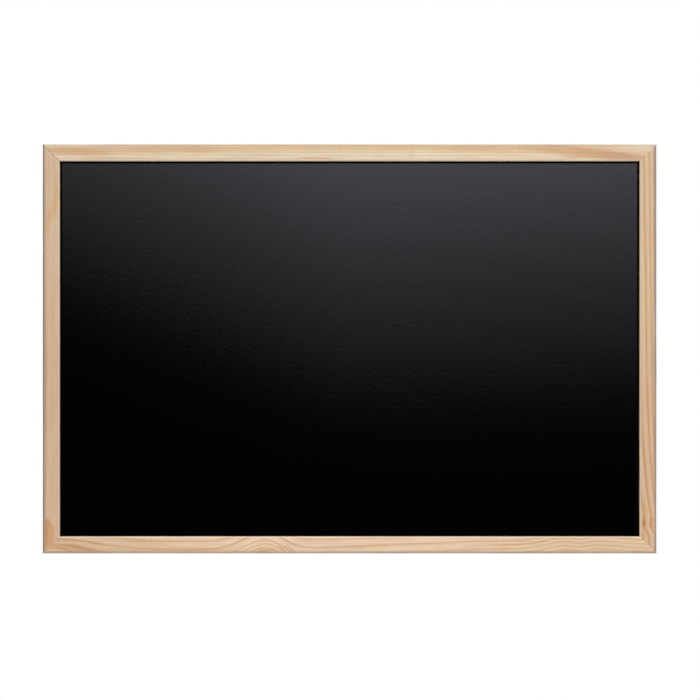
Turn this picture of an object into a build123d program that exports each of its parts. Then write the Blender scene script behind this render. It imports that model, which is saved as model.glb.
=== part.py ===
from build123d import *
import os

# Wall chalkboard: a black writing panel in a mitred pine frame, hung by two swinging wire rings on its back.
# Sizes are in millimetres. X runs along the width, Y from the front to the wall and Z up. The origin is the
# middle of the top rail's back face.

# Overall size, outside the frame
board_width = 600
board_height = 400

# Pine moulding of the frame
rail_width = 16.5  # face seen from the front
rail_depth = 14  # front face to back face
rebate_width = 5.5  # step behind the lip, which takes the panel
lip_thickness = 4  # wood in front of the panel
outer_edge_radius = 2  # front edge at the outside of the frame
inner_edge_radius = 1.2  # front edge at the panel
back_edge_chamfer = 0.6
mitre_gap = 0.12  # hairline left open at each mitre

# Writing panel, dropped into the rebate from behind
sheet_thickness = 0.8
core_thickness = 3
panel_clearance = 0.5  # on each side, inside the rebate

# V nails, two across the back of each mitre
v_nail_thickness = 0.5
v_nail_height = 7
v_nail_margin = 1.6  # wood between the nails and the sides of the back face
v_nail_gap = 0.8  # between the two nails of a mitre
v_nail_lip = 0.9  # length of the bent end of each leg
v_nail_flare = 0.5  # how far that end is bent out

# Framing points, three in each side, driven into the rebate wall over the panel
point_thickness = 0.5
point_width = 6
point_tip = 3  # length of the pointed end
point_reach = 7  # over the panel
point_cover = 4  # wood left outside the buried tip
point_end_radius = 1.5
point_inset = 60  # from each end of a rail to its outer points

# Strap hangers, one on the back of each stile
hanger_drop = 90  # top of the frame to the ring's axis
hanger_inset = 6  # side of the frame to the middle of the strap
strap_width = 6
strap_thickness = 0.8
strap_end = 4.5  # past the middle of the screw
strap_end_radius = 2.4
knuckle_roll = 285  # degrees that the strap is rolled round the ring's bar

# Wire ring of each hanger
wire_diameter = 1.6
wire_bend_radius = 1.5  # at the ends of the bar, on the wire's centre line
ring_arm = 3  # straight stretch between the bend and the arch
ring_clearance = 0.08  # round the bar, inside the knuckle
ring_side_play = 0.35  # between the knuckle and each bend
ring_butt_gap = 0.6  # between the wire's two ends, hidden in the knuckle

# Pan-head wood screw of each hanger
screw_diameter = 2.8
screw_length = 11  # under the head
screw_tip = 2.5
screw_head_diameter = 5.4
screw_head_height = 1.7
screw_head_chamfer = 0.7
screw_recess_length = 3
screw_recess_width = 0.7
screw_recess_depth = 1
screw_gap = 1.2  # between the hanging ring and the head
screw_hole_clearance = 0.2  # round the screw, in the strap
pilot_clearance = 0.02  # round the screw, in the wood

# Wall bumpers on the back of the bottom rail
bumper_margin = 1  # wood on each side of a bumper
bumper_inset = 32  # side of the frame to the middle of a bumper
bumper_proud = 0.2  # further out than the knuckles
bumper_edge_chamfer = 0.8

# Sizes that follow from these
land_width = rail_width - rebate_width
rebate_depth = rail_depth - lip_thickness
half_width = board_width / 2
top = land_width / 2
bottom = top - board_height
middle = (top + bottom) / 2
panel_width = board_width - 2 * (land_width + panel_clearance)
panel_height = board_height - 2 * (land_width + panel_clearance)
core_front = sheet_thickness - rebate_depth
core_back = core_front + core_thickness
wire_radius = wire_diameter / 2
bore_radius = wire_radius + ring_clearance
knuckle_radius = bore_radius + strap_thickness
arm_offset = strap_width / 2 + ring_side_play + wire_bend_radius
arch_start = wire_bend_radius + ring_arm
ring_reach = arch_start + arm_offset + wire_radius
ring_axis = top - hanger_drop
screw_drop = ring_reach + screw_gap + screw_head_diameter / 2
strap_length = screw_drop + strap_end
bumper_diameter = land_width - 2 * bumper_margin

# Each side of the frame has a plane on the middle of its outer back edge: its X runs inwards across the rail,
# its Y towards the wall and its Z along the rail
sides = {
    "top": (Plane((0, 0, top), x_dir=(0, 0, -1), y_dir=(0, 1, 0)), board_width),
    "bottom": (Plane((0, 0, bottom), x_dir=(0, 0, 1), y_dir=(0, 1, 0)), board_width),
    "left": (Plane((-half_width, 0, middle), x_dir=(1, 0, 0), y_dir=(0, 1, 0)), board_height),
    "right": (Plane((half_width, 0, middle), x_dir=(-1, 0, 0), y_dir=(0, 1, 0)), board_height),
}

# Each corner has a plane on its outer back edge: X and Y run inwards along the two rails, and Z towards the wall
corners = {
    "top_left": Plane((-half_width, 0, top), x_dir=(1, 0, 0), y_dir=(0, 0, -1)),
    "top_right": Plane((half_width, 0, top), x_dir=(0, 0, -1), y_dir=(-1, 0, 0)),
    "bottom_right": Plane((half_width, 0, bottom), x_dir=(-1, 0, 0), y_dir=(0, 0, 1)),
    "bottom_left": Plane((-half_width, 0, bottom), x_dir=(0, 0, 1), y_dir=(1, 0, 0)),
}


def wall_plane(x, y, z):
    """Plane at a point: its X runs along the board, its Y down and its Z towards the wall."""
    return Plane((x, y, z), x_dir=(1, 0, 0), y_dir=(0, 0, -1))


def make_v_nails(corner):
    """Two V-shaped sheet joiners across one mitre, flush with its back, with bent ends that pull it together."""
    leg = (land_width - 2 * v_nail_margin - v_nail_gap) / 2
    with BuildPart() as v_nails:
        with BuildSketch(corners[corner]):
            for start in (v_nail_margin, v_nail_margin + leg + v_nail_gap):
                with BuildLine():
                    Polyline(
                        (start + leg, start - v_nail_flare),
                        (start + leg - v_nail_lip, start),
                        (start, start),
                        (start, start + leg - v_nail_lip),
                        (start - v_nail_flare, start + leg),
                    )
                trace(line_width=v_nail_thickness)
        extrude(amount=-v_nail_height)
    v_nails.part.label = f"{corner}_v_nails"
    return v_nails.part


def make_points(side):
    """Three flat points along one side: the sharp end is in the wood, the round end lies on the panel."""
    plane, length = sides[side]
    buried = land_width - point_cover
    outer = length / 2 - point_inset
    with BuildPart() as points:
        for along in (-outer, 0, outer):
            seat = plane.from_local_coords((land_width, core_back, along))
            with BuildSketch(Plane(seat, x_dir=plane.x_dir, z_dir=(0, 1, 0))) as outline:
                with BuildLine():
                    Polyline(
                        (-buried, 0),
                        (point_tip - buried, point_width / 2),
                        (point_reach, point_width / 2),
                        (point_reach, -point_width / 2),
                        (point_tip - buried, -point_width / 2),
                        close=True,
                    )
                make_face()
                fillet(outline.vertices().group_by(Axis.X)[-1], point_end_radius)
            extrude(amount=point_thickness)
    points.part.label = f"{side}_points"
    return points.part


def make_rail(side, label, buried_pieces, pilot_hole=None):
    """One mitred moulding: a rebated section along its side, with a slot for each piece that is driven into it."""
    plane, length = sides[side]
    with BuildPart() as rail:
        with BuildSketch(plane) as section:
            with BuildLine():
                Polyline(
                    (0, 0),
                    (land_width, 0),
                    (land_width, -rebate_depth),
                    (rail_width, -rebate_depth),
                    (rail_width, -rail_depth),
                    (0, -rail_depth),
                    close=True,
                )
            make_face()
            fillet(section.vertices().group_by(Axis.Y)[0].sort_by(Axis.X)[-1], inner_edge_radius)
            fillet(section.vertices().group_by(Axis.Y)[0].sort_by(Axis.X)[0], outer_edge_radius)
            chamfer(section.vertices().sort_by(Axis.X)[:2].sort_by(Axis.Y)[-1], back_edge_chamfer)
        extrude(amount=length / 2, both=True)
        for end in (1, -1):
            corner = plane.from_local_coords((0, 0, end * length / 2))
            mitre = Plane(corner, z_dir=plane.x_dir + plane.z_dir * end)
            split(bisect_by=mitre.offset(-mitre_gap / 2), keep=Keep.BOTTOM)
        for piece in buried_pieces:
            add(piece, mode=Mode.SUBTRACT)
        if pilot_hole:
            with Locations(pilot_hole.location):
                Hole(
                    radius=screw_diameter / 2 + pilot_clearance,
                    depth=screw_length - strap_thickness + pilot_clearance,
                )
    rail.part.label = label
    return rail.part


def make_strap(side, x):
    """Strap hanger: a flat strip with a screw hole, rolled at its top into a knuckle for the ring's bar."""
    with BuildPart() as strap:
        with BuildSketch(Plane((x, 0, ring_axis), x_dir=(0, 1, 0), y_dir=(0, 0, 1))):
            with BuildLine():
                outer = CenterArc((knuckle_radius, 0), knuckle_radius, 180, -knuckle_roll)
                inner = CenterArc((knuckle_radius, 0), bore_radius, 180, -knuckle_roll)
                Line(outer @ 1, inner @ 1)
                Polyline(outer @ 0, (0, -strap_length), (strap_thickness, -strap_length), inner @ 0)
            make_face()
        extrude(amount=strap_width / 2, both=True)
        fillet(strap.edges().filter_by(Axis.Y).group_by(Axis.Z)[0], strap_end_radius)
        with Locations(wall_plane(x, strap_thickness, ring_axis - screw_drop).location):
            Hole(radius=screw_diameter / 2 + screw_hole_clearance, depth=strap_thickness)
    strap.part.label = f"{side}_hanger_strap"
    return strap.part


def make_ring(side, x):
    """D-shaped ring bent from one wire, hanging down, with the wire's ends meeting inside the knuckle."""
    with BuildPart() as ring:
        with BuildLine(wall_plane(x, knuckle_radius, ring_axis)) as path:
            FilletPolyline(
                (-ring_butt_gap / 2, 0),
                (-arm_offset, 0),
                (-arm_offset, arch_start),
                radius=wire_bend_radius,
            )
            ThreePointArc(
                (-arm_offset, arch_start),
                (0, arch_start + arm_offset),
                (arm_offset, arch_start),
            )
            FilletPolyline(
                (arm_offset, arch_start),
                (arm_offset, 0),
                (ring_butt_gap / 2, 0),
                radius=wire_bend_radius,
            )
        wire = path.wire()
        with BuildSketch(Plane(wire @ 0, z_dir=wire % 0)):
            Circle(wire_radius)
        sweep(path=wire)
    ring.part.label = f"{side}_hanger_ring"
    return ring.part


def make_screw(side, x):
    """Pan-head wood screw through the strap, with a crossed driver recess."""
    seat = wall_plane(x, strap_thickness, ring_axis - screw_drop)
    head_radius = screw_head_diameter / 2
    with BuildPart() as screw:
        with BuildSketch(Plane(seat.origin, x_dir=(1, 0, 0), y_dir=(0, 1, 0))):
            with BuildLine():
                Polyline(
                    (0, -screw_length),
                    (screw_diameter / 2, screw_tip - screw_length),
                    (screw_diameter / 2, 0),
                    (head_radius, 0),
                    (head_radius, screw_head_height - screw_head_chamfer),
                    (head_radius - screw_head_chamfer, screw_head_height),
                    (0, screw_head_height),
                    close=True,
                )
            make_face()
        revolve(axis=Axis(seat.origin, seat.z_dir))
        with BuildSketch(seat.offset(screw_head_height)):
            Rectangle(screw_recess_length, screw_recess_width)
            Rectangle(screw_recess_width, screw_recess_length)
        extrude(amount=-screw_recess_depth, mode=Mode.SUBTRACT)
    screw.part.label = f"{side}_hanger_screw"
    return screw.part


def make_bumper(side, x):
    """Round pad on the back of the bottom rail, with an eased rim."""
    with BuildPart() as bumper:
        with BuildSketch(wall_plane(x, 0, bottom + land_width / 2)):
            Circle(bumper_diameter / 2)
        extrude(amount=2 * knuckle_radius + bumper_proud)
        chamfer(bumper.edges().sort_by(Axis.Y)[-1], bumper_edge_chamfer)
    bumper.part.label = f"{side}_bumper"
    return bumper.part


# Writing panel
with BuildPart() as writing_sheet:
    with BuildSketch(wall_plane(0, -rebate_depth, middle)):
        Rectangle(panel_width, panel_height)
    extrude(amount=sheet_thickness)
writing_sheet.part.label = "writing_sheet"

with BuildPart() as core_board:
    with BuildSketch(wall_plane(0, core_front, middle)):
        Rectangle(panel_width, panel_height)
    extrude(amount=core_thickness)
core_board.part.label = "core_board"

# Fixings that are driven into the frame
v_nails = [make_v_nails(corner) for corner in corners]
points = {side: make_points(side) for side in sides}

# Frame
frame = [
    make_rail("top", "top_rail", [*v_nails, points["top"]]),
    make_rail("bottom", "bottom_rail", [*v_nails, points["bottom"]]),
]

# The two stiles, each with its hanger, and the bumper below it
hardware = []
for side, direction in (("left", -1), ("right", 1)):
    hanger_x = direction * (half_width - hanger_inset)
    pilot = wall_plane(hanger_x, 0, ring_axis - screw_drop)
    frame.append(make_rail(side, f"{side}_stile", [*v_nails, points[side]], pilot))
    hardware.append(make_strap(side, hanger_x))
    hardware.append(make_ring(side, hanger_x))
    hardware.append(make_screw(side, hanger_x))
    hardware.append(make_bumper(side, direction * (half_width - bumper_inset)))

os.makedirs("parts", exist_ok=True)
for piece in [*frame, writing_sheet.part, core_board.part, *v_nails, *points.values(), *hardware]:
    export_step(piece, f"parts/{piece.label}.step")
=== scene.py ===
"""Looks of a wall chalkboard: mitred pine frame, satin black writing sheet and the fittings behind them.

Lengths are metres in the part's own frame: X to the right as the board is read, Y from the front to the
wall, Z up. Grain and noise are given in millimetres, and a moulding's grain along, across and into it, from
the middle of its outer front edge.
"""

import math
from collections import namedtuple

import bpy
import numpy as np
from bpy.props import FloatProperty, FloatVectorProperty, PointerProperty
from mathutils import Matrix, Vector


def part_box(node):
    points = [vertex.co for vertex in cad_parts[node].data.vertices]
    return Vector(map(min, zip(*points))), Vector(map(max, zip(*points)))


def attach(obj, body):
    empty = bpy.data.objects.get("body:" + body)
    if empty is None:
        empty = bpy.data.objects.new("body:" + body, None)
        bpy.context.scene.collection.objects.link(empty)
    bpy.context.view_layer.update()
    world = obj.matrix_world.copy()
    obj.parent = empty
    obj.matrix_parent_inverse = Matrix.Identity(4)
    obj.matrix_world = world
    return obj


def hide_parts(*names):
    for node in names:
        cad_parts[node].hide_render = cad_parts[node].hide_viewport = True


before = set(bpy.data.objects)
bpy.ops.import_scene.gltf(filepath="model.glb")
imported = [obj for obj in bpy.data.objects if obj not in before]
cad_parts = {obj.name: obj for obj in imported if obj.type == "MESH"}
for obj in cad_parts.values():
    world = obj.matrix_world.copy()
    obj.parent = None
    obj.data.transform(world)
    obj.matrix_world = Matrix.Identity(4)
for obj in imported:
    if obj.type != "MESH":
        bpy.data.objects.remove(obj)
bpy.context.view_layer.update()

bl_info = {
    "name": "Wall Chalkboard",
    "version": (1, 0, 0),
    "blender": (4, 5, 0),
    "location": "3D View > Sidebar > Chalkboard",
    "description": "Dresses a framed wall chalkboard: mouldings, writing sheet, back fittings and studio",
    "category": "Add Mesh",
}

MM = 0.001
FULL_TURN = 2 * math.pi
QUARTER_TURN = math.pi / 2
INTO_WOOD = (0, 1, 0)

# Places read from the frame
TOP_LOW, TOP_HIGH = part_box("top_rail")
FRONT, BACK = TOP_LOW.y, TOP_HIGH.y
TOP, BOTTOM = TOP_HIGH.z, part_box("bottom_rail")[0].z
LEFT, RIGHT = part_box("left_stile")[0].x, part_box("right_stile")[1].x
MIDDLE_X, MIDDLE_Z = (LEFT + RIGHT) / 2, (TOP + BOTTOM) / 2
SHEET_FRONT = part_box("writing_sheet")[0].y

# The photograph, in its pixels
PHOTO_SIDE = 700
PHOTO_PIXELS_PER_MM = 1.024
PHOTO_BOARD_MIDDLE = (349.6, 348.85)

# A moulding's place: the middle of its outer front edge, the way it runs, the way inwards across its face and
# its length. Then how open the mitres at its low and high ends look, as a share of the full gap and ease.
Place = namedtuple("Place", "origin run inward length mitres")
PLACES = {
    "top_rail": Place((MIDDLE_X, FRONT, TOP), (1, 0, 0), (0, 0, -1), RIGHT - LEFT, (1.0, 0.3)),
    "bottom_rail": Place((MIDDLE_X, FRONT, BOTTOM), (1, 0, 0), (0, 0, 1), RIGHT - LEFT, (0.15, 0.15)),
    "left_stile": Place((LEFT, FRONT, MIDDLE_Z), (0, 0, 1), (1, 0, 0), TOP - BOTTOM, (0.15, 1.0)),
    "right_stile": Place((RIGHT, FRONT, MIDDLE_Z), (0, 0, 1), (-1, 0, 0), TOP - BOTTOM, (0.15, 0.3)),
}

# A swell lifts the growth rings: where its crest lies, how far they rise and over what length before it, and
# how far they fall and over what length after it
Swell = namedtuple("Swell", "at rise before fall after")

# A streak is a long lens of another tone of wood: its middle along and across the face, its reach along it,
# its half width, its strength, how it leans, and its soft rim as a share of the half width
Streak = namedtuple("Streak", "tone at across reach half strength lean fade", defaults=(0.0, 0.95))

# Streaks, swells and knots of each moulding, in the order in which they are laid
TOP_STREAKS = (
    # A pale streak in the colour that also paints the inner arris's highlight
    Streak("bleached", 10, 12.4, 120, 4.5, 0.3),
    Streak("resin", -267, 7.4, 50, 4.6, 0.95, lean=0.015),
    Streak("resin", -182, 4.6, 84, 5, 0.74, lean=-0.012),
    Streak("late", -264, 7.2, 30, 1.6, 0.25),
    Streak("resin", -146, 6.2, 24, 4.4, 0.5),
    Streak("amber", -85, 4, 60, 5, 0.8),
    Streak("amber", 30, 3, 120, 5, 0.85, lean=0.004),
    Streak("amber", 140, 4.4, 70, 5.6, 0.8, lean=0.01),
    Streak("resin", 118, 4.6, 36, 3.4, 0.5),
    Streak("resin", 228, 8.2, 72, 6.4, 1, lean=0.11),
    Streak("late", 236, 5.6, 62, 1, 0.35, lean=0.11),
    Streak("resin", 264, 7.2, 46, 5.4, 0.4, lean=0.1),
    Streak("tan", -222, 15, 44, 4, 0.35),
    Streak("blush", 260, 11, 36, 4.2, 0.8, lean=0.1),
    Streak("late", -33, 14, 18, 1.4, 0.6, lean=0.01),
    Streak("blush", 60, 8.5, 3, 6, 0.2),
    Streak("knot", 198, 1.6, 8, 1.1, 0.35),
)

BOTTOM_SWELLS = (
    Swell(-290, 11.2, 60, 10.7, 62),
    Swell(-82, 17.1, 30.5, 16.6, 24),
    Swell(160, 8.3, 150, 0, 100),
    Swell(211, 6.8, 27, 1.4, 8),
    Swell(240, 2.2, 9, 4, 45),
)

BOTTOM_STREAKS = (
    Streak("resin", -172, 4.2, 56, 3.2, 0.8),
    Streak("tan", -255, 9, 100, 12, 0.75, lean=-0.02),
    Streak("late", -180, 12.3, 48, 1.2, 0.5),
    Streak("blush", -270, 6, 44, 4.6, 0.45, lean=-0.14),
    Streak("late", -286, 5.4, 14, 1.2, 0.8),
    Streak("knot", -276, 3.6, 9, 1.2, 0.5, lean=-0.28),
    Streak("late", -280, 8.3, 17, 1.3, 0.9),
    Streak("knot", -263, 6, 15, 1.4, 0.6, lean=-0.16),
    Streak("late", -276, 13.8, 22, 1.4, 0.8, lean=-0.07),
    Streak("knot", -250, 10.6, 12, 1.2, 0.5, lean=-0.18),
    Streak("blush", -260, 3, 14, 1.8, 1, lean=-0.1),
    Streak("amber", -82, 5, 13, 3, 0.9),
    Streak("late", -81.5, 3.4, 10, 1.5, 0.6),
    Streak("knot", -66.5, 5.4, 4.5, 1.3, 0.45, lean=-0.9),
    Streak("knot", -61.5, 5, 4.5, 1.3, 0.4, lean=-0.9),
    Streak("knot", -57, 4.6, 4.5, 1.3, 0.35, lean=-0.8),
    Streak("amber", 78, 3.2, 20, 1.8, 0.8),
    Streak("tan", 235, 8, 120, 14, 0.4),
    Streak("resin", 214, 3, 14, 2, 0.8),
    Streak("resin", 281, 3.2, 9, 1.8, 0.8),
)

LEFT_STREAKS = (
    Streak("cream", 150, 8, 140, 14, 0.3),
    # Painted shade along the left stile's outer edge
    Streak("worn", -40, 2.3, 210, 2.2, 0.3),
    Streak("resin", 152, 13.4, 26, 2.5, 0.9),
    Streak("resin", 133, 8.8, 27, 4.3, 1, lean=0.32),
    Streak("resin", 45, 10.5, 20, 5, 0.3),
    Streak("resin", 10, 8.5, 60, 5, 0.35, lean=0.01),
    Streak("late", -190, 4.6, 27, 9.6, 0.85, lean=-0.06, fade=0.3),
    Streak("blush", -188, 7.4, 9, 3.6, 0.6),
    Streak("knot", -172, 4.2, 8, 2.6, 0.45),
    Streak("knot", -184, 4.2, 8, 2.2, 0.4),
    Streak("knot", -174, 9, 9, 1.4, 0.35, lean=-0.4),
)

RIGHT_SWELLS = (
    Swell(-190, -7.5, 30, -7.5, 75),
    Swell(-186, -4.7, 30, -4.7, 23),
    Swell(-172.5, 3.4, 6.5, 3.4, 6),
)

RIGHT_STREAKS = (
    Streak("tan", -130, 8, 170, 14, 0.9),
    # Painted shade along the right stile's outer edge
    Streak("worn", 90, 2, 120, 1.9, 0.3),
    Streak("late", 105, 2.6, 70, 1.8, 0.35),
    Streak("resin", 5, 14, 60, 2.6, 0.3),
    Streak("late", -45, 9.3, 70, 1.8, 0.5, lean=0.02),
    Streak("late", -45, 15.4, 60, 1.8, 0.5, lean=0.0144),
    Streak("late", 45, 5.8, 70, 1.2, 0.3, lean=0.0125),
    Streak("late", -90, 3, 50, 1.4, 0.5, lean=0.02),
    Streak("late", -108, 12.4, 30, 1.5, 0.6, lean=0.1),
    Streak("late", 140, 12, 100, 1.4, 0.25, lean=0.0125),
    Streak("late", -168, 13, 26, 3.4, 0.7),
    Streak("late", -170.5, 3.8, 8, 2, 0.75),
)

RIGHT_KNOTS = (
    Streak("knot", -170, 12.4, 5.5, 1.9, 0.8),
    Streak("knot", -170.5, 6.1, 5, 1.2, 0.4),
    Streak("knot", -178.5, 10.2, 5, 1.1, 0.3, lean=0.55),
)

# A grain's line is where one growth ring ends, at mid-length. Rings are a spacing wide above it and a core
# spacing below it, and they halve along the split. They show by the contrast, and more round the crest.
# Painted shade darkens the outer edges, least on the top rail's, which faces the light; a painted highlight
# pales the inner one. Streaks lie under the rings and knots over them.
Grain = namedtuple(
    "Grain",
    "early seed line spacing core_spacing tilt drift warp contrast fibre wear bleach streaks"
    " split crest crest_reach crest_contrast swells knots",
    defaults=(None, 0, 100, 0.0, (), ()),
)
GRAINS = {
    "top_rail": Grain(
        early="cream", seed=11.3, line=1.4, spacing=3.3, core_spacing=3.3, tilt=0.55, drift=0.002, warp=0.9,
        contrast=0.2, fibre=0.24, wear=0.35, bleach=0.7,
        streaks=TOP_STREAKS,
    ),
    "bottom_rail": Grain(
        early="rose", seed=4.7, line=-4.6, spacing=8.0, core_spacing=3.9, tilt=0.4, drift=0.0, warp=0.9,
        contrast=0.46, fibre=0.22, wear=0.65, bleach=0.45,
        split=(105, 150), crest=-86, crest_reach=22, crest_contrast=0.32,
        swells=BOTTOM_SWELLS,
        streaks=BOTTOM_STREAKS,
    ),
    "left_stile": Grain(
        early="tan", seed=23.1, line=5.0, spacing=6.5, core_spacing=6.5, tilt=0.3, drift=0.01, warp=2.5,
        contrast=0.2, fibre=0.2, wear=1.0, bleach=0.2,
        streaks=LEFT_STREAKS,
    ),
    "right_stile": Grain(
        early="honey", seed=7.9, line=10.05, spacing=6.3, core_spacing=4.9, tilt=0.5, drift=0.0145, warp=0.5,
        contrast=0.72, fibre=0.2, wear=0.95, bleach=0.6,
        crest=-120, crest_reach=60, crest_contrast=0.5,
        swells=RIGHT_SWELLS,
        streaks=RIGHT_STREAKS,
        knots=RIGHT_KNOTS,
    ),
}

# Pine: lumps of its noises along, across and into the wood
WARP_LUMPS = (85, 24, 24)
PATCH_LUMPS = (45, 9, 9)
FIBRE_LUMPS = (40, 0.6, 0.6)
STRAND_LUMPS = (150, 1.5, 1.5)
CLOUD_LUMPS = (40, 7, 7)
FLUSH_LUMPS = (26, 6, 6)
DASH_LUMPS = (4.5, 0.3, 0.3)

# Pine: where a noise, or the distance from an edge, starts to show and where it shows in full
PATCH_SPAN = (0.25, 0.6)
FLUSH_SPAN = (0.42, 0.68)
DASH_SPAN = (0.69, 0.78)
# Painted shade on the outer edges, by depth from the edge
OUTER_SHADE_SPAN = (4.0, 0.9)
# Painted highlight on the inner arris, by depth from the edge
INNER_HIGHLIGHT_SPAN = (1.7, 0.8)

# Pine: within a growth ring, from 0 to 1, its darkest place, the start of its dark line and its darkest rim
LATE_EDGE = 0.84
LATE_LINE = 0.4
LATE_RIM = (0.64, 0.96)
LINE_SHARE = 0.75

# Pine: how dark a ring is at least and how much that varies, from ring to ring and in patches along it
RING_LEAST, RING_SPREAD = 0.65, 0.4
PATCH_LEAST, PATCH_SPREAD = 0.7, 0.35
HALF_RING_DEPTH = 1.5
RIM_DEPTH = 0.4

# Pine: the middle of a streak's soft rim, as a share of its half, and what makes the rim ragged
STREAK_RIM = 0.825
RAGGED_FIBRE, RAGGED_STRAND = 0.7, 0.5

# Pine: shares of the noises in its flush, its shade, its painted edge shade, its relief and its roughness
FLUSH_TINT, FLUSH_SHARE = 0.5, 0.4
SHADE_STRAND, SHADE_CLOUD, SHADE_DASH = 0.6, 0.1, 0.08
OUTER_SHADE_FIBRE = 1.2
RELIEF_FIBRE, RELIEF_LATE = 0.8, 0.5
DULL_FIBRE, GLOSSY_LATE = 0.2, 0.08

# Writing paint: lumps of its stipple and of its faint unevenness, and their shares
STIPPLE_LUMPS = (0.9, 0.9, 0.9)
MOTTLE_LUMPS = (3.5, 3.5, 3.5)
MOTTLE_RELIEF = 1.5
DULL_STIPPLE, DULL_MOTTLE = 0.05, 0.015

# Hardboard: pitch of the drying screen's print, lumps of its pulp, fibres and flecks, and their shares
SCREEN_PITCH = 1.9
PULP_LUMPS = (14, 14, 14)
LONG_FIBRE_LUMPS = (3.2, 1, 0.5)
CROSS_FIBRE_LUMPS = (0.5, 1, 3.2)
CROSS_FIBRE_SHIFT = (9, 0, 0)
FLECK_LUMPS = (1.1, 1.1, 1.1)
FLECK_SPAN = (0.62, 0.78)
FLECK_SHARE = 0.5
SHADE_PULP, SHADE_FIBRE, SHADE_SCREEN = 0.5, 0.45, 0.07
DULL_PULP, GLOSSY_SCREEN = 0.2, 0.05
RELIEF_SCREEN, RELIEF_BOARD_FIBRE = 0.6, 0.4

# Metal: width of its drawn lines and their length on steel and zinc, lumps of its stains and specks, shares
LINE_WIDTH = 0.12
STEEL_LINE, ZINC_LINE = 1.5, 3.0
STAIN_LUMPS = (1.7, 1.7, 1.7)
SPECK_LUMPS = (0.35, 0.35, 0.35)
SPECK_SPAN = (0.64, 0.76)
DULL_TINT, DULL_SHARE = 0.5, 0.5
DULL_STAIN, DULL_LINE, DULL_SPECK = 0.2, 0.12, 0.15
RELIEF_LINE, RELIEF_STAIN = 0.6, 0.4

# Rubber: lumps of its moulded grip and of its dust, and their shares
GRIP_LUMPS = (0.25, 0.25, 0.25)
DUST_LUMPS = (1.6, 1.6, 1.6)
DUST_SPAN = (0.5, 0.75)
DUST_SHARE = 0.5
DULL_DUST, DULL_GRIP = 0.15, 0.1

# Relief of each finish: how strongly it shows and its height
RELIEF = {
    "pine": (0.3, 0.2 * MM),
    "paint": (0.08, 0.2 * MM),
    "hardboard": (0.45, 0.3 * MM),
    "metal": (0.12, 0.1 * MM),
    "rubber": (0.25, 0.1 * MM),
}

# Meshes: edges sharper than this stay sharp, and a turned face closes in a flat cap of this share
SHARP_ANGLE = math.radians(35)
CAP_SHARE = 0.02

# Mouldings: points round an arris and across the face, and the waves that hand sanding leaves
ARC_POINTS = 9
FACE_POINTS = 8
SANDING_WAVE = 0.3
SANDING_PARTS = (1.0, 1.9, 3.3, 5.1)
SANDING_HEIGHT = 1.6

# Bumpers: points round them, rings of the dished face and where the first one lies inside the rim
PAD_TURN = 64
PAD_RINGS = 10
PAD_FIRST_RING = 0.9

# Screws: points round them and rings along them, and forms of the thread, the point, the head and the recess
SCREW_TURN = 144
SHANK_RINGS = 110
HEAD_RIM_RINGS = 10
HEAD_TOP_RINGS = 60
HEAD_RIM_ANGLE = 0.9
RIDGE_STEEPNESS = 2.4
TIP_SHARE = 0.04
RECESS_RISE = 0.45

# Floor: points round it and rings across it
FLOOR_TURN = 96
FLOOR_RINGS = 24

# Studio light, by height and turn from the front: where each part of it starts and where it is whole
CANOPY_SPAN = np.radians((14, 30))
OVERHEAD_SPAN = np.radians((50, 80))
SIDE_SPAN = np.radians((40, 75))
REAR_SPAN = np.radians((80, 110))
REAR_RISE = (-0.6, 0.6)


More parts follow.
